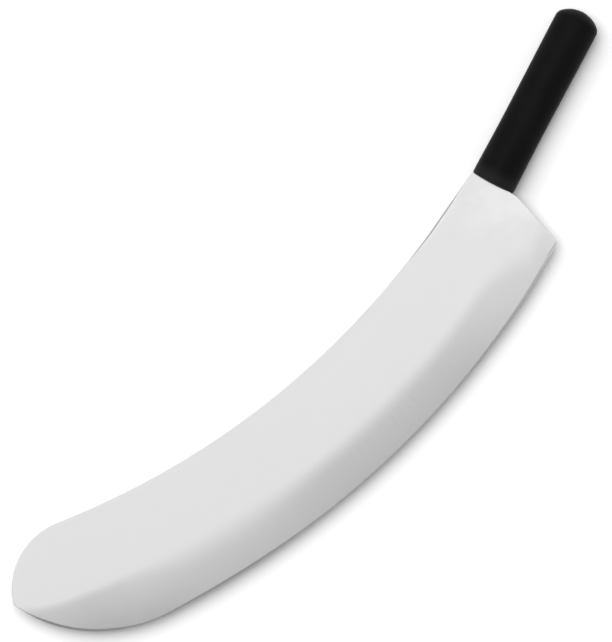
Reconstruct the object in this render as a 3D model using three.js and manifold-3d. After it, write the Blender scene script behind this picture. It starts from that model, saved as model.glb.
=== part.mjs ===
// A chopping knife with a wide blade that curves upwards like a sickle. The blade is one stamping with its
// flat tang, and the handle is one plastic moulding cast round that tang and keyed through the tang's holes.
// Millimetres, +Z up. The knife lies on its side: the handle runs along +X, the point lies towards -X, the
// cutting edge faces -Y and the blade's plane is level. The origin is under the middle of the whole knife.
import * as THREE from 'three';
import { mergeVertices } from 'three/addons/utils/BufferGeometryUtils.js';
import Module from 'manifold-3d';

const wasm = await Module();
wasm.setup();

// Handle: an oval bar with a slightly crowned front and a domed butt
const handleLength = 130;
const handleWidth = 30.9;
const handleThickness = 22;
const handleWaist = 0.4; // narrowing of each side at the waist
const waistFromFront = 42;
const frontCrown = 1;
const frontRimRun = 1.2; // rounding of the front rim
const buttDomeHeight = 7.4;
const buttCornerRun = 2.6; // rounding between the sides and the dome
const handleSides = 48;
const profileSteps = 4; // steps in each curve of the handle's outline

// Blade plan: lengths run along the spine from the handle, depths are measured from the spine towards the edge
const bladeThickness = 3;
const bladeLength = 415.6;
const spineRadius = 558; // hollow curve of the spine
const spineTurn = THREE.MathUtils.degToRad(2.67); // slope of the spine where it leaves the handle
const spineRise = 2.2; // the spine's curve passes this far above the handle's side
const neckLength = 36; // stretch in which the neck eases from the handle's side to the spine's curve
const heelDepth = 76.7;
const bellyDepth = 88.3;
const pointDepth = 42.5;
const pointBackRadius = 44; // round from the spine down to the point
const pointEdgeRadius = 100; // round from the point into the belly
const heelSetback = 9.6; // from the handle to the heel's corner
const heelRunLength = 37; // nearly straight stretch of edge at the heel
const heelLift = 1.9; // rise of the edge from the end of that stretch to the corner
const heelBlend = 9; // rounding where that stretch meets the curved edge
const heelCornerRun = 1.6; // rounding of the heel's corner
const shoulderDrop = 2.4; // the blade's shoulder reaches this far past the handle's edge side
const shoulderCornerRun = 2.8; // rounding of that shoulder
const planStep = 5; // spacing of points along the outline
const leastCurveSteps = 4; // steps in its smallest rounds

// Grind: a soft shoulder and a flat bevel on each face, then a steeper sharpened edge
const faceDepth = 49.5; // depth of the flat face, where the bevel starts
const grindBlend = 12; // width of the soft shoulder
const grindBlendFacets = 3;
const bevelEdgeThickness = 0.3; // thickness that the bevels would leave at the full belly depth
const grindRunOut = 58; // the bevel reaches its full width this far from the handle
const grindHeelDrop = 20; // the bevel's start sinks this far towards the heel
const grindHeelPower = 1.25; // 1 sinks it in a straight line, more in a bow
const grindPointRun = 30; // stretch before the point in which the bevel narrows
const sharpAngle = THREE.MathUtils.degToRad(25);
const edgeThickness = 0.2; // land left along the cutting edge
const routeStep = 10; // spacing of the points that lead the bevel's cutter
const grindStep = 6; // spacing of its facets

// Tang and its fit in the handle
const tangSideCover = 6; // plastic beside the tang
const tangEndCover = 26; // plastic behind the tang
const tangRootRadius = 2;
const tangEndRadius = 5;
const tangHoleDiameter = 8;
const tangHoleCount = 3;
const tangHoleMargin = 16; // from each end of the tang to the nearest hole's centre
const tangCurveSteps = 8;
const mouldGap = 0.3; // clearance between plastic and metal

const handleSide = handleWidth / 2;
const tangWidth = handleWidth - 2 * tangSideCover;
const tangLength = handleLength - tangEndCover;
const sharpDepth = bladeThickness / Math.tan(sharpAngle); // reach of the sharpening cut behind the edge
const cutterReach = 3 * bladeThickness; // run of every cutter past what it cuts

// Closed geometry to a solid for cutting and joining, and back

function toSolid(geometry) {
  const bare = geometry.clone();
  bare.deleteAttribute('normal');
  bare.deleteAttribute('uv');
  const merged = mergeVertices(bare, 1e-4);
  const corners = merged.index.array;
  const kept = [];
  for (let i = 0; i < corners.length; i += 3) {
    const [a, b, c] = corners.slice(i, i + 3);
    if (a !== b && b !== c && c !== a) {
      kept.push(a, b, c);
    }
  }
  const vertProperties = merged.getAttribute('position').array;
  const triVerts = Uint32Array.from(kept);
  return new wasm.Manifold(new wasm.Mesh({ numProp: 3, vertProperties, triVerts }));
}

function toGeometry(solid) {
  const { vertProperties, triVerts } = solid.getMesh();
  const geometry = new THREE.BufferGeometry();
  geometry.setAttribute('position', new THREE.BufferAttribute(vertProperties, 3));
  geometry.setIndex(new THREE.BufferAttribute(triVerts, 1));
  geometry.computeVertexNormals();
  return geometry;
}

// The blade's plan is drawn as a straight strip and then bent round the spine's centre

const spineCentre = new THREE.Vector2(
  spineRadius * Math.sin(spineTurn),
  handleSide + spineRise + spineRadius * Math.cos(spineTurn),
);

function bend({ x: along, y: depth }) {
  const turn = spineTurn + along / spineRadius;
  const reach = spineRadius + depth;
  return new THREE.Vector2(
    spineCentre.x - reach * Math.sin(turn),
    spineCentre.y - reach * Math.cos(turn),
  );
}

function unbend(x, y) {
  const inward = new THREE.Vector2(spineCentre.x - x, spineCentre.y - y);
  const turn = Math.atan2(inward.x, inward.y);
  return new THREE.Vector2((turn - spineTurn) * spineRadius, inward.length() - spineRadius);
}

function edgeDepth(along) {
  return THREE.MathUtils.mapLinear(along, 0, bladeLength, heelDepth, bellyDepth);
}

// The place at a distance from one point on the way to another
function towards(from, to, distance) {
  return to.clone().sub(from).setLength(distance).add(from);
}

// Points along paths that follow one another, with each shared end taken once
function spaced(paths, step) {
  const points = [];
  for (const curve of paths.flatMap((path) => path.curves)) {
    const least = curve.isLineCurve ? 1 : leastCurveSteps;
    const pieces = Math.max(least, Math.ceil(curve.getLength() / step));
    for (const next of curve.getSpacedPoints(pieces)) {
      const last = points.at(-1);
      if (!last || last.distanceTo(next) > 1e-3) {
        points.push(next);
      }
    }
  }
  return points;
}

// Corners of the plan
const point = new THREE.Vector2(bladeLength, pointDepth);
const heelRunEnd = new THREE.Vector2(heelSetback + heelRunLength, edgeDepth(heelSetback + heelRunLength));
const heel = new THREE.Vector2(heelSetback, edgeDepth(heelSetback) - heelLift);
const heelBefore = towards(heel, heelRunEnd, heelCornerRun);
const shoulder = unbend(0, -handleSide - shoulderDrop);
const shoulderEnd = unbend(0, -handleSide);

// The round that goes through the point and runs into the edge line
const edgeStart = new THREE.Vector2(0, edgeDepth(0));
const edgeLine = new THREE.Vector2(bladeLength, edgeDepth(bladeLength)).sub(edgeStart).normalize();
const edgeInward = new THREE.Vector2(edgeLine.y, -edgeLine.x);
const pointOffset = point.clone().sub(edgeStart);
const pointHeight = pointOffset.dot(edgeInward);
const bellyRun = Math.sqrt(pointEdgeRadius ** 2 - (pointEdgeRadius - pointHeight) ** 2);
const bellyEnd = edgeStart.clone().addScaledVector(edgeLine, pointOffset.dot(edgeLine) - bellyRun);
const bellyCentre = bellyEnd.clone().addScaledVector(edgeInward, pointEdgeRadius);

function spineCurve() {
  const backRun = Math.sqrt(pointBackRadius ** 2 - (pointBackRadius - pointDepth) ** 2);
  const backCentre = new THREE.Vector2(bladeLength - backRun, pointBackRadius);
  const pointAngle = Math.atan2(pointDepth - pointBackRadius, backRun);
  const path = new THREE.Path();
  path.moveTo(0, spineRise);
  path.quadraticCurveTo(neckLength / 2, 0, neckLength, 0);
  path.absarc(backCentre.x, backCentre.y, pointBackRadius, -Math.PI / 2, pointAngle, false);
  return path;
}

function edgeCurve() {
  const runBefore = towards(heelRunEnd, bellyEnd, heelBlend);
  const runAfter = towards(heelRunEnd, heel, heelBlend);
  const pointAngle = point.clone().sub(bellyCentre).angle();
  const bellyAngle = bellyEnd.clone().sub(bellyCentre).angle();
  const path = new THREE.Path();
  path.absarc(bellyCentre.x, bellyCentre.y, pointEdgeRadius, pointAngle, bellyAngle, false);
  path.lineTo(runBefore.x, runBefore.y);
  path.quadraticCurveTo(heelRunEnd.x, heelRunEnd.y, runAfter.x, runAfter.y);
  path.lineTo(heelBefore.x, heelBefore.y);
  return path;
}

function backCurve() {
  const heelAfter = towards(heel, shoulder, heelCornerRun);
  const shoulderBefore = towards(shoulder, heel, shoulderCornerRun);
  const path = new THREE.Path();
  path.moveTo(heelBefore.x, heelBefore.y);
  path.quadraticCurveTo(heel.x, heel.y, heelAfter.x, heelAfter.y);
  path.lineTo(shoulderBefore.x, shoulderBefore.y);
  path.quadraticCurveTo(shoulder.x, shoulder.y, shoulderEnd.x, shoulderEnd.y);
  return path;
}

function bladePlate() {
  const strip = spaced([spineCurve(), edgeCurve(), backCurve()], planStep);
  const plan = new THREE.Shape(strip.map(bend));
  const plate = new THREE.ExtrudeGeometry(plan, { depth: bladeThickness, bevelEnabled: false });
  return plate.translate(0, 0, -bladeThickness / 2);
}

// The tang, or with a gap the room that the plastic leaves for it
function tang(gap) {
  const half = tangWidth / 2 + gap;
  const end = tangLength + gap;
  const shape = new THREE.Shape();
  shape.moveTo(-tangRootRadius, half + tangRootRadius);
  shape.lineTo(-tangRootRadius, -half - tangRootRadius);
  shape.lineTo(gap, -half - tangRootRadius);
  shape.quadraticCurveTo(gap, -half, gap + tangRootRadius, -half);
  shape.lineTo(end - tangEndRadius, -half);
  shape.quadraticCurveTo(end, -half, end, -half + tangEndRadius);
  shape.lineTo(end, half - tangEndRadius);
  shape.quadraticCurveTo(end, half, end - tangEndRadius, half);
  shape.lineTo(gap + tangRootRadius, half);
  shape.quadraticCurveTo(gap, half, gap, half + tangRootRadius);
  for (let i = 0; i < tangHoleCount; i += 1) {
    const share = tangHoleCount > 1 ? i / (tangHoleCount - 1) : 0.5;
    const centre = THREE.MathUtils.lerp(tangHoleMargin, tangLength - tangHoleMargin, share);
    const hole = new THREE.Path();
    hole.absarc(centre, 0, tangHoleDiameter / 2 - gap, 0, 2 * Math.PI, false);
    shape.holes.push(hole);
  }
  const thickness = bladeThickness + 2 * gap;
  const options = { depth: thickness, bevelEnabled: false, curveSegments: tangCurveSteps };
  return new THREE.ExtrudeGeometry(shape, options).translate(0, 0, -thickness / 2);
}

// A cutter with a constant section, swept from the heel to the point. The section holds distances towards the
// edge and heights above the blade's middle plane, and side is 1 for the upper face and -1 for the lower.
function sweptCutter(section, route, side) {
  const corners = section.map(([across, height]) => new THREE.Vector2(-side * height, across));
  const points = route.map(bend).map(({ x, y }) => new THREE.Vector3(x, y, 0));
  const extrudePath = new THREE.CatmullRomCurve3(points);
  const steps = Math.ceil(extrudePath.getLength() / grindStep);
  return new THREE.ExtrudeGeometry(new THREE.Shape(corners), { steps, extrudePath, bevelEnabled: false });
}

function ridgeDepth(along) {
  const heelShare = Math.max(0, grindRunOut - along) / grindRunOut;
  const pointShare = Math.max(0, along - (bladeLength - grindPointRun)) / grindPointRun;
  const sink = grindHeelDrop * heelShare ** grindHeelPower;
  return faceDepth + sink - (faceDepth - pointDepth) * pointShare ** 2;
}

function grindCutter(side) {
  const fullWidth = bellyDepth - faceDepth;
  const slope = (bladeThickness - bevelEdgeThickness) / 2 / (fullWidth - grindBlend / 2);
  const clear = bladeThickness / 2 + cutterReach;
  const section = [];
  for (let i = 0; i <= grindBlendFacets; i += 1) {
    const across = (grindBlend * i) / grindBlendFacets;
    section.push([across, bladeThickness / 2 - (slope * across ** 2) / (2 * grindBlend)]);
  }
  // The first facet is carried on above the face, so that the cut starts where the two cross
  const [start, next] = section;
  section[0] = [start[0] - next[0], 2 * start[1] - next[1]];
  const outer = fullWidth + cutterReach;
  section.push([outer, bladeThickness / 2 - slope * (outer - grindBlend / 2)]);
  section.push([outer, clear], [section[0][0], clear]);
  const route = [];
  const pieces = Math.ceil(bladeLength / routeStep);
  for (let i = 0; i <= pieces; i += 1) {
    const along = THREE.MathUtils.lerp(-cutterReach, bladeLength + cutterReach, i / pieces);
    route.push(new THREE.Vector2(along, ridgeDepth(along)));
  }
  return sweptCutter(section, route, side);
}

function sharpCutter(side) {
  const slope = Math.tan(sharpAngle);
  const clear = bladeThickness / 2 + sharpDepth * slope;
  const section = [
    [-sharpDepth, edgeThickness / 2 + sharpDepth * slope],
    [cutterReach, edgeThickness / 2 - cutterReach * slope],
    [cutterReach, clear + cutterReach],
    [-sharpDepth, clear + cutterReach],
  ];
  const edge = spaced([edgeCurve()], planStep).reverse();
  const heelOut = towards(edge[0], edge[1], -cutterReach);
  const pointOut = towards(edge.at(-1), edge.at(-2), -cutterReach);
  return sweptCutter(section, [heelOut, ...edge, pointOut], side);
}

function bladeGeometry() {
  let metal = toSolid(bladePlate()).add(toSolid(tang(0)));
  for (const side of [1, -1]) {
    metal = metal.subtract(toSolid(grindCutter(side))).subtract(toSolid(sharpCutter(side)));
  }
  return toGeometry(metal);
}

// Half outline of the handle, turned about its axis and then flattened to the oval

function handleBar() {
  const crownEdge = handleSide - frontRimRun;
  const crownRadius = (frontCrown ** 2 + crownEdge ** 2) / (2 * frontCrown);
  const domeRadius = (buttDomeHeight ** 2 + handleSide ** 2) / (2 * buttDomeHeight);
  const domeFoot = handleLength - buttDomeHeight;
  const domeCentre = handleLength - domeRadius;
  const domeAngle = Math.atan2(domeFoot - domeCentre, handleSide) + buttCornerRun / domeRadius;
  const domeStart = new THREE.Vector2(
    domeRadius * Math.cos(domeAngle),
    domeCentre + domeRadius * Math.sin(domeAngle),
  );
  const crownAngle = Math.atan2(crownEdge, crownRadius - frontCrown);
  const profile = new THREE.Path();
  profile.absarc(0, crownRadius - frontCrown, crownRadius, -Math.PI / 2, crownAngle - Math.PI / 2, false);
  profile.quadraticCurveTo(handleSide, 0, handleSide, frontRimRun);
  profile.splineThru([
    new THREE.Vector2(handleSide - handleWaist, waistFromFront),
    new THREE.Vector2(handleSide, domeFoot - buttCornerRun),
  ]);
  profile.quadraticCurveTo(handleSide, domeFoot, domeStart.x, domeStart.y);
  profile.absarc(0, domeCentre, domeRadius, domeAngle, Math.PI / 2, false);
  const outline = profile.getPoints(profileSteps);
  outline[0].x = 0;
  outline.at(-1).x = 0;
  const bar = new THREE.LatheGeometry(outline, handleSides);
  bar.rotateZ(-Math.PI / 2);
  bar.scale(1, 1, handleThickness / handleWidth);
  return bar.translate(mouldGap, 0, 0);
}

function handleGeometry() {
  const slotDepth = frontCrown + cutterReach;
  const slot = new THREE.BoxGeometry(slotDepth, 2 * handleWidth, bladeThickness + 2 * mouldGap);
  slot.translate(mouldGap - slotDepth / 2, 0, 0);
  const plastic = toSolid(handleBar()).subtract(toSolid(slot)).subtract(toSolid(tang(mouldGap)));
  return toGeometry(plastic);
}

function part(name, geometry, color, roughness, metalness) {
  const mesh = new THREE.Mesh(geometry, new THREE.MeshStandardMaterial({ color, roughness, metalness }));
  mesh.name = name;
  return mesh;
}

const knife = new THREE.Group();
knife.add(part('blade', bladeGeometry(), 0xd3d4d5, 0.32, 1));
knife.add(part('handle', handleGeometry(), 0x1c1c1d, 0.48, 0));

// The origin goes under the middle of the knife as it lies
const box = new THREE.Box3().setFromObject(knife);
const middle = box.getCenter(new THREE.Vector3());
knife.position.set(-middle.x, -middle.y, -box.min.z);

export default knife;
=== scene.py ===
from math import acos, asin, atan2, cos, hypot, pi, radians, sin, tan

import bmesh
import bpy
from mathutils import Euler, Matrix, Vector


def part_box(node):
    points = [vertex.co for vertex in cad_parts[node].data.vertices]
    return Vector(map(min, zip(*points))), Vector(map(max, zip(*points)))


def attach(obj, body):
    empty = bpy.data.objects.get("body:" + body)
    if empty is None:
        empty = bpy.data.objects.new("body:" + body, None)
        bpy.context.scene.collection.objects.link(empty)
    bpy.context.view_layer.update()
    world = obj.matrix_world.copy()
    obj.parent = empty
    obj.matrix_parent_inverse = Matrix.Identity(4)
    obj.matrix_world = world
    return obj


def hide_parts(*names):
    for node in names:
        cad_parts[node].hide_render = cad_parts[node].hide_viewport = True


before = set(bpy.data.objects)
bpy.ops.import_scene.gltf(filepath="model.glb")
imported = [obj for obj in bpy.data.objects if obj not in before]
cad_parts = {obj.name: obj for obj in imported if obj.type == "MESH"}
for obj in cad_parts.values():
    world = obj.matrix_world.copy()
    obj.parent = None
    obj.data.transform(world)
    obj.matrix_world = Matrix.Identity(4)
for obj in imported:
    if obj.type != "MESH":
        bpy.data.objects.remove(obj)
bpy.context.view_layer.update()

mm = 0.001  # sizes are in millimetres, the finished meshes in metres
mergeGap = 1e-4  # vertices this near become one

bladeLow, bladeHigh = (Vector(corner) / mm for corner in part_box("blade"))
handleLow, handleHigh = (Vector(corner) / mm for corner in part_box("handle"))
bladeThickness = bladeHigh.z - bladeLow.z
handleSide = (handleHigh.y - handleLow.y) / 2
print("frame: blade plate %.2f mm, handle %.2f mm wide" % (bladeThickness, 2 * handleSide))


# small helpers for outlines, which grow one point at a time

def lineTo(bm, last, x, y):
    end = bmesh.ops.extrude_vert_indiv(bm, verts=[last])["verts"][0]
    end.co = (x, y, 0)
    return end


def arcTo(bm, last, centre, angle, steps):
    made = bmesh.ops.spin(bm, geom=[last], cent=centre, axis=(0, 0, 1), angle=angle, steps=steps)
    return made["geom_last"][0]


def roundCorner(bm, vert, run, segments):
    bmesh.ops.bevel(
        bm, geom=[vert], offset=run, offset_type="OFFSET", affect="VERTICES",
        segments=segments, profile=0.5, material=-1,
    )


# easing from one value to another, and putting things into the scene

def mix(a, b, share):
    return a + (b - a) * share


def smooth(low, high, value):  # 0 below low, 1 above high, eased between
    share = min(1, max(0, (value - low) / (high - low)))
    return share * share * (3 - 2 * share)


def addObject(name, data):
    made = bpy.data.objects.new(name, data)
    bpy.context.scene.collection.objects.link(made)
    return made


def addMesh(name, bm, material):
    mesh = bpy.data.meshes.new(name)
    bm.to_mesh(mesh)
    bm.free()
    mesh.materials.append(material)
    return addObject(name, mesh)


def addPiece(name, bm, place, node, material):
    bmesh.ops.translate(bm, verts=bm.verts[:], vec=place)
    bmesh.ops.scale(bm, verts=bm.verts[:], vec=(mm, mm, mm))
    for face in bm.faces:
        face.smooth = True
    piece = addMesh(name, bm, material)
    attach(piece, "root")
    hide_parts(node)
    print("piece: %s, %d faces" % (name, len(piece.data.polygons)))


# a socket that can stand in a sum, which then adds the nodes for it

class Signal:
    def __init__(self, tree, socket=None):
        self.tree = tree
        self.socket = socket

    def node(self, kind, settings=None, inputs=None, output=0):  # inputs are values or other signals
        made = self.tree.nodes.new(kind)
        for name, value in (settings or {}).items():
            setattr(made, name, value)
        for name, value in (inputs or {}).items():
            if isinstance(value, Signal):
                self.tree.links.new(value.socket, made.inputs[name])
            else:
                made.inputs[name].default_value = value
        return Signal(self.tree, made.outputs[output]) if made.outputs else made

    def maths(self, operation, first, second):
        return self.node("ShaderNodeMath", {"operation": operation}, {0: first, 1: second})

    def __add__(self, other):
        return self.maths("ADD", self, other)

    def __radd__(self, other):
        return self.maths("ADD", other, self)

    def __sub__(self, other):
        return self.maths("SUBTRACT", self, other)

    def __rsub__(self, other):
        return self.maths("SUBTRACT", other, self)

    def __mul__(self, other):
        return self.maths("MULTIPLY", self, other)

    def __rmul__(self, other):
        return self.maths("MULTIPLY", other, self)

    def step(self, low, high):  # 0 below low, 1 above high, eased between
        return self.node(
            "ShaderNodeMapRange", {"interpolation_type": "SMOOTHSTEP"},
            {"Value": self, "From Min": low, "From Max": high},
        )

    def blend(self, first, second):  # colours, by this signal as the share
        return self.node(
            "ShaderNodeMix", {"data_type": "RGBA"}, {0: self, 6: first, 7: second}, output=2
        )

    def axis(self, index):
        return self.node("ShaderNodeSeparateXYZ", {}, {"Vector": self}, output=index)

    def noise(self, cycles, detail):  # this signal is a place, cycles count per metre on each axis
        stretched = self.node("ShaderNodeMapping", {}, {"Vector": self, "Scale": cycles})
        return self.node("ShaderNodeTexNoise", {}, {"Vector": stretched, "Scale": 1.0, "Detail": detail})

    def bump(self, strength, distance):
        return self.node("ShaderNodeBump", {}, {"Height": self, "Strength": strength, "Distance": distance})

    def attribute(self, name):
        return self.node("ShaderNodeAttribute", {"attribute_name": name}, output=2)


def newMaterial(name):
    material = bpy.data.materials.new(name)
    material.use_nodes = True
    material.node_tree.nodes.clear()
    return material, Signal(material.node_tree)


def finishMaterial(start, inputs):
    shader = start.node("ShaderNodeBsdfPrincipled", {}, inputs)
    start.node("ShaderNodeOutputMaterial", {}, {"Surface": shader})


# handle: an oval bar, turned from its half outline and then flattened

handle = {
    "length": 130.0,
    "gap": 0.3,  # the plastic starts this far behind the blade's shoulder
    "waist": 0.4,  # narrowing of each side
    "waistPlace": 42.0,
    "frontCrown": 1.0,
    "frontRim": 1.2,
    "domeHeight": 7.4,  # of the butt
    "domeCorner": 2.6,
    "sideStep": 6.0,
    "arcSteps": 6,  # coarse enough for the rims to fit in one step
    "rimSteps": 6,
    "turnSteps": 96,
    "rimTurn": radians(25),  # edges that turn more than this are rims
    "plasticDeep": (0.0031, 0.0031, 0.0031, 1),
    "plasticPale": (0.0056, 0.0056, 0.0056, 1),
    "plasticFrontHighlight": (0.0122, 0.0122, 0.0122, 1),  # painted highlight: paler at the front, where the front rim catches light
    "frontHighlightRange": (1.5, 12.0),  # behind the shoulder, where the painted highlight fades
    "grain": (2600, 2600, 2600),  # moulded texture, cycles in a metre
    "grainDetail": 2.0,
    "cloud": (60, 60, 60),
    "cloudDetail": 3.0,
    "grainBump": 0.25,
    "grainHeight": 0.0001,
    "roughness": 0.36,
    "roughnessRange": 0.08,
    "sheen": 0.06,
}

axisPlace = (handleLow + handleHigh) / 2
axisPlace.x = handleHigh.x - handle["length"] - handle["gap"]  # level with the blade's shoulder


def sideAt(x):
    domeFoot = handle["length"] - handle["domeHeight"]
    waistPlace = handle["waistPlace"]
    share = x / waistPlace if x < waistPlace else (domeFoot - x) / (domeFoot - waistPlace)
    return handleSide - handle["waist"] * sin(share * pi / 2) ** 2


def handleOutline(bm):
    crown, domeHeight = handle["frontCrown"], handle["domeHeight"]
    crownRadius = (crown ** 2 + handleSide ** 2) / (2 * crown)
    domeRadius = (domeHeight ** 2 + handleSide ** 2) / (2 * domeHeight)
    domeFoot = handle["length"] - domeHeight
    first = bm.verts.new((-crown, 0, 0))
    crownTurn = asin(handleSide / crownRadius)
    last = arcTo(bm, first, (crownRadius - crown, 0, 0), -crownTurn, handle["arcSteps"])
    for i in range(1, int(domeFoot / handle["sideStep"])):
        x = i * handle["sideStep"]
        last = lineTo(bm, last, x, sideAt(x))
    last = lineTo(bm, last, domeFoot, handleSide)
    domeTurn = asin(handleSide / domeRadius)
    last = arcTo(bm, last, (handle["length"] - domeRadius, 0, 0), -domeTurn, handle["arcSteps"])
    last.co.y = 0  # the arc ends a rounding error beside the axis


def handleBody(material):
    bm = bmesh.new()
    handleOutline(bm)
    bmesh.ops.spin(
        bm, geom=bm.verts[:] + bm.edges[:], cent=(0, 0, 0), axis=(1, 0, 0),
        angle=2 * pi, steps=handle["turnSteps"], use_merge=True,
    )
    bmesh.ops.remove_doubles(bm, verts=bm.verts[:], dist=mergeGap)
    bmesh.ops.recalc_face_normals(bm, faces=bm.faces[:])
    rims = [edge for edge in bm.edges if edge.calc_face_angle() > handle["rimTurn"]]
    middle = handle["length"] / 2
    frontRim = [edge for edge in rims if edge.verts[0].co.x < middle]
    domeCorner = [edge for edge in rims if edge.verts[0].co.x > middle]
    for edges, run in ((frontRim, handle["frontRim"]), (domeCorner, handle["domeCorner"])):
        bmesh.ops.bevel(
            bm, geom=edges, offset=run, offset_type="OFFSET", affect="EDGES",
            segments=handle["rimSteps"], profile=0.5, material=-1,
        )
    flatten = (handleHigh.z - handleLow.z) / (handleHigh.y - handleLow.y)
    bmesh.ops.scale(bm, verts=bm.verts[:], vec=(1, 1, flatten))
    place = axisPlace + Vector((handle["gap"], 0, 0))
    addPiece("moulded_handle", bm, place, "handle", material)


def blackPlastic():
    material, start = newMaterial("black plastic")
    place = start.node("ShaderNodeTexCoord", output=3)
    grain = place.noise(handle["grain"], handle["grainDetail"])
    cloud = place.noise(handle["cloud"], handle["cloudDetail"])
    bump = grain.bump(handle["grainBump"], handle["grainHeight"])
    body = cloud.blend(handle["plasticDeep"], handle["plasticPale"])
    # painted highlight on the plastic's front, fading out behind the shoulder
    pastFrontHighlight = place.axis(0).step(*((axisPlace.x + run) * mm for run in handle["frontHighlightRange"]))
    finishMaterial(start, {
        "Base Color": pastFrontHighlight.blend(handle["plasticFrontHighlight"], body),
        "Roughness": handle["roughness"] + handle["roughnessRange"] * cloud,
        "Specular IOR Level": handle["sheen"],
        "Normal": bump,
    })
    return material


# blade: one plate, drawn as a straight strip from the handle to the point and then bent upwards

blade = {
    "length": 415.6,  # along the spine
    "spineRadius": 558.0,
    "spineTurn": radians(2.67),  # slope of the spine where it leaves the handle
    "spineRise": 2.2,
    "neckLength": 36.0,
    "neckInside": 3.0,  # the neck goes this far into the plastic
    "neckCover": 1.5,  # plastic below it there
    "heelDepth": 76.7,
    "bellyDepth": 88.3,
    "pointDepth": 42.5,
    "pointBackRadius": 44.0,  # from the spine to the point
    "pointEdgeRadius": 100.0,  # from the point to the cutting edge
    "heelSetback": 9.6,
    "heelRun": 37.0,  # over this length the cutting edge lifts towards the heel
    "heelLift": 1.9,
    "heelBlend": 9.0,
    "heelCorner": 1.6,
    "shoulderDrop": 2.4,
    "shoulderCorner": 2.8,
    # pairs of a place along the spine and a value there, eased from one place to the next
    "faceDepth": ((0, 54.0), (60, 47.0), (120, 48.5), (200, 49.5), (280, 48.0)),  # the bevel starts here
    "grindBlend": ((20, 22.0), (60, 9.0), (120, 12.0), (200, 12.0), (270, 20.0), (300, 20.0), (350, 8.0)),
    "grindBow": ((300, 0.0087), (350, 0.035)),  # the bevel is ground slightly round
    "grindShare": ((25, 0.4), (120, 1.0), (200, 1.0), (270, 0.82), (300, 0.82), (350, 1.0)),
    "sharpAngle": ((30, radians(28)), (110, radians(22)), (200, radians(22)), (300, radians(16))),
    "rimRun": ((12, 0.4), (28, 2.4), (50, 2.4), (75, 0.4)),  # eased more where a finger rests
    "rimDrop": ((12, 0.4), (28, 0.9), (50, 0.9), (75, 0.4)),
    "grindEdge": 0.6,  # thickness left behind the sharpened strip
    "pointRun": 30.0,  # the bevel's start turns towards the point
    "sharpLimit": 1.6,  # widest sharpened strip
    "sharpFade": 18.0,  # it fades into a broken edge at the heel and at the point
    "land": 0.2,
    "rimLevels": 4,  # rows in an eased rim and in the strip
    "rimDigits": 2,  # cuts leave rounding errors in the row numbers
    "rimGuard": 0.5,  # the last row stands this far inside
    "planStep": 12.0,  # longest side of the outline
    "cutSlack": 0.02,  # a cut leaves out vertices this near
    "stationStep": 5.0,
    "rowStep": 12.0,
    "bevelStep": 3.0,
    "bevelRows": 12,
    "faceRows": 6,
    "shoulderStep": 1.5,
    "shoulderRows": 9,
    "arcSteps": 32,
    "cornerSteps": 6,
    "tangCover": 6.0,  # plastic beside the tang
    "tangLength": 104.0,
    "tangTurn": radians(25),  # it grows from faces that face the butt within this
    "steelFlat": ((0.70, 0.70, 0.70, 1), (0.78, 0.78, 0.78, 1)),  # in the lines and between them
    # the bevel's tone is darker than the flat's: partly its coarser grind, partly painted shade of the
    # tilted bevel
    "steelGroundAndShade": ((0.66, 0.66, 0.66, 1), (0.74, 0.74, 0.74, 1)),
    "steelPointShade": ((0.60, 0.60, 0.60, 1), (0.68, 0.68, 0.68, 1)),
    "steelNeckReflection": (0.80, 0.80, 0.80, 1),
    "satinLines": (9, 1400, 1),  # fine lines along the blade, cycles in a metre
    "grindLines": (1400, 40, 1),  # and across its bevel
    "lineDetail": 3.0,
    "cloud": (36, 36, 1),
    "cloudDetail": 2.0,
    "cloudRange": (0.35, 0.6),
    "neckReflectionRange": (0.006, 0.042),  # metres from the handle, paler patches of painted reflection
    "pointShadeRange": (0.335, 0.375),  # metres from the handle, where painted shade darkens the bevel towards the point
    "lineBump": 0.05,
    "lineHeight": 0.0002,
    "metal": 1.0,
    "roughness": 0.155,
    "roughLines": 0.12,
    "roughGround": 0.03,
    "smoothHoned": 0.05,
}

spineCentre = Vector((
    blade["spineRadius"] * sin(blade["spineTurn"]),
    handleSide + blade["spineRise"] + blade["spineRadius"] * cos(blade["spineTurn"]),
))


def bend(along, depth):
    turn = blade["spineTurn"] + along / blade["spineRadius"]
    return spineCentre - (blade["spineRadius"] + depth) * Vector((sin(turn), cos(turn)))


def unbend(x, y):
    inward = spineCentre - Vector((x, y))
    turn = atan2(inward.x, inward.y) - blade["spineTurn"]
    return turn * blade["spineRadius"], inward.length - blade["spineRadius"]


def edgeDepth(along):
    return mix(blade["heelDepth"], blade["bellyDepth"], along / blade["length"])


def valueAt(name, along):
    places = blade[name]
    value = places[0][1]
    for (start, _), (end, following) in zip(places, places[1:]):
        value = mix(value, following, smooth(start, end, along))
    return value


def ridgeDepth(along):
    pointShare = max(0, along - blade["length"] + blade["pointRun"]) / blade["pointRun"]
    return mix(valueAt("faceDepth", along), blade["pointDepth"], pointShare ** 2)


def beyondRidge(along, depth):  # square to the ridge, whose slope comes from the next millimetre
    rise = ridgeDepth(along + 1) - ridgeDepth(along)
    return max(0, depth - ridgeDepth(along)) / hypot(1, rise)


def grindDrop(along, across):  # for a slope of 1 at the end of the soft shoulder
    blend = valueAt("grindBlend", along)
    soft = min(across, blend)
    hard = across - soft
    return soft ** 2 / (2 * blend) + hard + valueAt("grindBow", along) * hard ** 2


def halfThickness(along, depth):
    fullDrop = grindDrop(along, edgeDepth(along) - valueAt("faceDepth", along))
    slope = valueAt("grindShare", along) * (bladeThickness - blade["grindEdge"]) / 2 / fullDrop
    return bladeThickness / 2 - slope * grindDrop(along, beyondRidge(along, depth))


heelAlong = blade["heelSetback"]
heelCornerDepth = edgeDepth(heelAlong) - blade["heelLift"]


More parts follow.
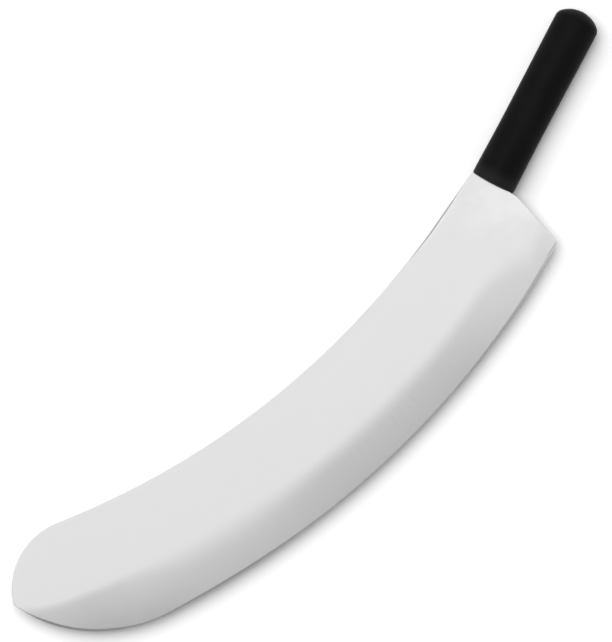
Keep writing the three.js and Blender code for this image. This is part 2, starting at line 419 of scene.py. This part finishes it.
def sharpness(along, depth):  # above 0 on the cutting edge's side of a line from the heel to the point
    share = (along - heelAlong) / (blade["length"] - heelAlong)
    if depth < mix(heelCornerDepth, blade["pointDepth"], share):
        return 0
    return smooth(0, blade["sharpFade"], min(along - heelAlong, blade["length"] - along))


def sharpSize(along, depth):  # inwards and upwards from the cutting edge
    slope = tan(valueAt("sharpAngle", along))
    width = min(blade["sharpLimit"], (halfThickness(along, depth) - blade["land"] / 2) / slope)
    return width, width * slope


def rimSize(name, along, depth):  # its wide part is on the spine's side
    return valueAt(name, along if depth < ridgeDepth(along) else 0)


def bladePlan(bm):
    length, pointDepth = blade["length"], blade["pointDepth"]
    backRadius, bellyRadius = blade["pointBackRadius"], blade["pointEdgeRadius"]
    heelBendAlong = heelAlong + blade["heelRun"]
    # two rounds meet in the point, one from the spine and one from the edge's line
    edgeStart = Vector((0, edgeDepth(0), 0))
    edgeLine = (Vector((length, edgeDepth(length), 0)) - edgeStart).normalized()
    edgeInward = Vector((edgeLine.y, -edgeLine.x, 0))
    pointOffset = Vector((length, pointDepth, 0)) - edgeStart
    bellyTurn = acos(1 - pointOffset.dot(edgeInward) / bellyRadius)
    bellyReach = pointOffset.dot(edgeLine) - bellyRadius * sin(bellyTurn)
    bellyCentre = edgeStart + edgeLine * bellyReach + edgeInward * bellyRadius
    backTurn = acos(1 - pointDepth / backRadius)
    backStart = length - backRadius * sin(backTurn)
    # the neck runs a little way into the plastic and ends in a step above and below the tang
    inside = blade["neckInside"]
    tangSide = handleSide - blade["tangCover"]
    neckLow = blade["neckCover"] - handleSide
    neckSlope = 2 * blade["spineRise"] / blade["neckLength"]
    first = bm.verts.new((-inside, blade["spineRise"] + neckSlope * inside, 0))
    neck = lineTo(bm, first, blade["neckLength"] / 2, 0)
    last = lineTo(bm, neck, backStart, 0)
    last = arcTo(bm, last, (backStart, backRadius, 0), backTurn, blade["arcSteps"])
    last = arcTo(bm, last, bellyCentre, bellyTurn, blade["arcSteps"])
    heelBend = lineTo(bm, last, heelBendAlong, edgeDepth(heelBendAlong))
    heel = lineTo(bm, heelBend, heelAlong, heelCornerDepth)
    shoulder = lineTo(bm, heel, *unbend(0, -handleSide - blade["shoulderDrop"]))
    last = lineTo(bm, shoulder, *unbend(0, neckLow))
    last = lineTo(bm, last, *unbend(inside, neckLow))
    last = lineTo(bm, last, *unbend(inside, -tangSide))
    last = lineTo(bm, last, *unbend(inside, tangSide))
    bm.edges.new((last, first))
    bmesh.ops.contextual_create(bm, geom=bm.edges[:])
    roundCorner(bm, neck, blade["neckLength"] / 2, blade["cornerSteps"])
    roundCorner(bm, heelBend, blade["heelBlend"], blade["cornerSteps"])
    roundCorner(bm, heel, blade["heelCorner"], blade["cornerSteps"])
    roundCorner(bm, shoulder, blade["shoulderCorner"], blade["cornerSteps"])
    for edge in bm.edges[:]:
        cuts = int(edge.calc_length() / blade["planStep"])
        if cuts:
            bmesh.ops.subdivide_edges(bm, edges=[edge], cuts=cuts)


def rimBands(bm, rim, inward):  # loops for the broken edges and the sharpened strip
    levels = blade["rimLevels"]
    unit = 1.0  # each vertex scales this inset below
    bmesh.ops.inset_region(bm, faces=bm.faces[:], thickness=unit, use_boundary=True, use_even_offset=True)
    outer = {vert for edge in bm.edges if edge.is_boundary for vert in edge.verts}
    spokes = [edge for edge in bm.edges if len(outer.intersection(edge.verts)) == 1]
    for edge in spokes:
        start, end = sorted(edge.verts, key=lambda vert: vert not in outer)
        start[rim], end[rim] = 0, levels
        start[inward] = end[inward] = end.co - start.co
    bmesh.ops.subdivide_edges(bm, edges=spokes, cuts=levels - 1, use_grid_fill=True)
    for vert in bm.verts:
        start = vert.co - vert[inward] * vert[rim] / levels
        share = min(1, vert[rim] / (levels - 1))
        inset = mix(
            rimSize("rimRun", *start.xy) * (1 - cos(share * pi / 2)),
            sharpSize(*start.xy)[0] * share,
            sharpness(*start.xy),
        )
        guard = blade["rimGuard"] if round(vert[rim]) == levels else 0
        vert.co = start + vert[inward] * (inset + guard)


def cutAcross(bm, place, normal):
    everything = bm.verts[:] + bm.edges[:] + bm.faces[:]
    bmesh.ops.bisect_plane(bm, geom=everything, dist=blade["cutSlack"], plane_co=place, plane_no=normal)


def gridFace(bm):  # stations along the strip and rows beside the ridge
    for i in range(int(blade["length"] / blade["stationStep"]) + 1):
        cutAcross(bm, (i * blade["stationStep"], 0, 0), (1, 0, 0))
    for vert in bm.verts:
        vert.co.y -= ridgeDepth(vert.co.x)
    rows = [i * blade["shoulderStep"] for i in range(blade["shoulderRows"])]
    rows += [rows[-1] + (i + 1) * blade["bevelStep"] for i in range(blade["bevelRows"])]
    rows += [-(i + 1) * blade["rowStep"] for i in range(blade["faceRows"])]
    for row in rows:
        cutAcross(bm, (0, row, 0), (0, 1, 0))
    for vert in bm.verts:
        vert.co.y += ridgeDepth(vert.co.x)


def raiseFace(bm, rim, ground, honed):
    for vert in bm.verts:
        along, depth = vert.co.xy
        share = min(1, vert[rim] / (blade["rimLevels"] - 1))
        sharp = sharpness(along, depth)
        height = halfThickness(along, depth)
        eased = height
        if bend(along, depth).x < 0:  # the neck stays full inside the plastic
            eased -= rimSize("rimDrop", along, depth) * (1 - sin(share * pi / 2))
        vert.co.z = mix(eased, height - sharpSize(along, depth)[1] * (1 - share), sharp)
        soft = smooth(0, valueAt("grindBlend", along), beyondRidge(along, depth))
        vert[ground] = soft * valueAt("grindShare", along)
        vert[honed] = (1 - share) * sharp


def closeBlade(bm):  # the other face, and the narrow wall between the two
    everything = bm.verts[:] + bm.edges[:] + bm.faces[:]
    bmesh.ops.mirror(bm, geom=everything, matrix=Matrix.Identity(4), merge_dist=mergeGap, axis="Z")
    bmesh.ops.bridge_loops(bm, edges=[edge for edge in bm.edges if edge.is_boundary])


def markStrip(bm, rim):  # hard lines on both sides of the sharpened strip
    hardLevels = ({0}, {blade["rimLevels"] - 1})
    for edge in bm.edges:
        levels = {round(vert[rim], blade["rimDigits"]) for vert in edge.verts}
        onEdge = all(sharpness(*vert.co.xy) for vert in edge.verts)
        edge.smooth = not (onEdge and levels in hardLevels)


def layLines(bm):  # places on the straight strip, for the brushed lines
    strip = bm.loops.layers.uv.new("strip")
    for face in bm.faces:
        for loop in face.loops:
            loop[strip].uv = loop.vert.co.xy * mm


def growTang(bm):
    bm.normal_update()
    root = []
    for face in bm.faces:
        middle = face.calc_center_median()
        atEnd = middle.x > 0 and abs(face.normal.x) > cos(blade["tangTurn"])
        if atEnd and abs(middle.y) < handleSide - blade["tangCover"]:
            root.append(face)
    made = bmesh.ops.extrude_face_region(bm, geom=root)["geom"]
    ends = [item for item in made if isinstance(item, bmesh.types.BMVert)]
    bmesh.ops.translate(bm, verts=ends, vec=(blade["tangLength"] - blade["neckInside"], 0, 0))
    bmesh.ops.delete(bm, geom=root, context="FACES")
    print("tang: grown from %d faces" % len(root))


def bladeBody(material):
    bm = bmesh.new()
    rim = bm.verts.layers.float.new("rim")
    inward = bm.verts.layers.float_vector.new("inward")
    ground = bm.verts.layers.float.new("ground")
    honed = bm.verts.layers.float.new("honed")
    bladePlan(bm)
    rimBands(bm, rim, inward)
    gridFace(bm)
    raiseFace(bm, rim, ground, honed)
    closeBlade(bm)
    markStrip(bm, rim)
    layLines(bm)
    for vert in bm.verts:
        vert.co.xy = bend(*vert.co.xy)
    growTang(bm)
    bmesh.ops.recalc_face_normals(bm, faces=bm.faces[:])
    bm.verts.layers.float.remove(bm.verts.layers.float["rim"])
    bm.verts.layers.float_vector.remove(bm.verts.layers.float_vector["inward"])
    addPiece("ground_blade", bm, axisPlace, "blade", material)


def satinSteel():
    material, start = newMaterial("satin steel")
    strip = start.node("ShaderNodeUVMap", {"uv_map": "strip"})
    ground = start.attribute("ground")
    honed = start.attribute("honed")
    satin = strip.noise(blade["satinLines"], blade["lineDetail"])
    grinding = strip.noise(blade["grindLines"], blade["lineDetail"])
    cloud = strip.noise(blade["cloud"], blade["cloudDetail"])
    lines = satin + ground * (grinding - satin)
    along = strip.axis(0)
    # painted reflection: paler cloudy patches on the steel next to the handle
    neck = (1 - along.step(*blade["neckReflectionRange"])) * cloud.step(*blade["cloudRange"])
    flat = lines.blend(*blade["steelFlat"])
    # darker bevel: partly its coarser grind, partly painted shade
    mainBevel = lines.blend(*blade["steelGroundAndShade"])
    # painted shade: a darker bevel towards the point
    shadedPointBevel = lines.blend(*blade["steelPointShade"])
    bevel = along.step(*blade["pointShadeRange"]).blend(mainBevel, shadedPointBevel)
    colour = neck.blend(ground.blend(flat, bevel), blade["steelNeckReflection"])
    worn = blade["roughLines"] * lines + blade["roughGround"] * ground
    finishMaterial(start, {
        "Base Color": colour,
        "Metallic": blade["metal"],
        "Roughness": blade["roughness"] + worn - blade["smoothHoned"] * honed,
        "Normal": lines.bump(blade["lineBump"], blade["lineHeight"]),
    })
    return material


# stage: a pale floor under the handle, light from above, and the camera square on

stage = {
    "pixelSize": 0.67288 * mm,  # on the knife
    "imageSize": (612, 642),
    "imageMiddle": (-140.49, 68.0),  # seen from the shoulder on the handle's axis
    "imageTurn": radians(-62.25),
    "lens": 1000.0,
    "sensor": 36.0,
    "viewReach": 100.0,  # metres
    "floorSize": 10.0,  # metres
    "floorColour": (0.86, 0.86, 0.86, 1),
    "floorRoughness": 1.0,
    "floorSheen": 0.0,
    "lightColour": (1, 1, 1, 1),
    "fill": 0.37,
    "horizon": 1.0,  # the fill grows to this towards the horizon
    "horizonRange": (0.0, 0.85),
    "softbox": 0.865,
    "softboxRange": (0.80, 0.97),
    "darkSide": (0.3, -0.954),  # a flag cuts the softbox off on this side of the image
    "flagRange": (0.015, 0.13),
    "keySide": (-0.574, 0.819),  # the key light comes from this side
    "keyTilt": radians(30),
    "keyWidth": radians(60),
    "keyStrength": 2.5,
}


def paleFloor():
    material, start = newMaterial("pale floor")
    finishMaterial(start, {
        "Base Color": stage["floorColour"],
        "Roughness": stage["floorRoughness"],
        "Specular IOR Level": stage["floorSheen"],
    })
    bm = bmesh.new()
    bmesh.ops.create_grid(bm, x_segments=1, y_segments=1, size=stage["floorSize"])
    bmesh.ops.translate(bm, verts=bm.verts[:], vec=(0, 0, handleLow.z * mm))
    floor = addMesh("pale_floor", bm, material)


def imageDirection(right, top):  # a level direction, given as it runs across the image
    across = Vector((cos(stage["imageTurn"]), sin(stage["imageTurn"]), 0))
    upwards = Vector((-across.y, across.x, 0))
    return (right * across + top * upwards).normalized()


def studioLight():
    world = bpy.data.worlds.new("studio")
    bpy.context.scene.world = world
    world.use_nodes = True
    world.node_tree.nodes.clear()
    start = Signal(world.node_tree)
    towards = start.node("ShaderNodeTexCoord", output=0)
    darkSide = imageDirection(*stage["darkSide"])
    toDark = start.node(
        "ShaderNodeVectorMath", {"operation": "DOT_PRODUCT"}, {0: towards, 1: darkSide}, output=1
    )
    softbox = towards.axis(2).step(*stage["softboxRange"])
    flag = 1 - toDark.step(*stage["flagRange"])
    low = 1 - towards.axis(2).step(*stage["horizonRange"])
    fill = stage["fill"] + (stage["horizon"] - stage["fill"]) * low
    strength = fill + stage["softbox"] * (softbox * flag)
    light = start.node("ShaderNodeBackground", {}, {"Color": stage["lightColour"], "Strength": strength})
    start.node("ShaderNodeOutputWorld", {}, {"Surface": light})


def keyLight():  # lights the floor and the plastic, and is left out of the steel's reflections
    lamp = bpy.data.lights.new("key", "SUN")
    lamp.angle = stage["keyWidth"]
    lamp.energy = stage["keyStrength"]
    key = addObject("key", lamp)
    tilt = stage["keyTilt"]
    direction = imageDirection(*stage["keySide"]) * sin(tilt) + Vector((0, 0, cos(tilt)))
    key.rotation_euler = direction.to_track_quat("Z", "Y").to_euler()
    key.visible_glossy = False


def photoCamera():
    lens = bpy.data.cameras.new("camera")
    lens.lens = stage["lens"]
    lens.sensor_width = stage["sensor"]
    lens.clip_end = stage["viewReach"]
    camera = addObject("camera", lens)
    reach = max(stage["imageSize"]) * stage["pixelSize"] * stage["lens"] / stage["sensor"]
    middle = axisPlace + Vector((*stage["imageMiddle"], bladeThickness / 2))
    camera.location = middle * mm + Vector((0, 0, reach))
    camera.rotation_euler = Euler((0, 0, stage["imageTurn"]))
    bpy.context.scene.camera = camera


bladeBody(satinSteel())
handleBody(blackPlastic())
paleFloor()
studioLight()
keyLight()
photoCamera()
bpy.context.scene.view_settings.view_transform = "Standard"
print("stage: floor, light and camera set")
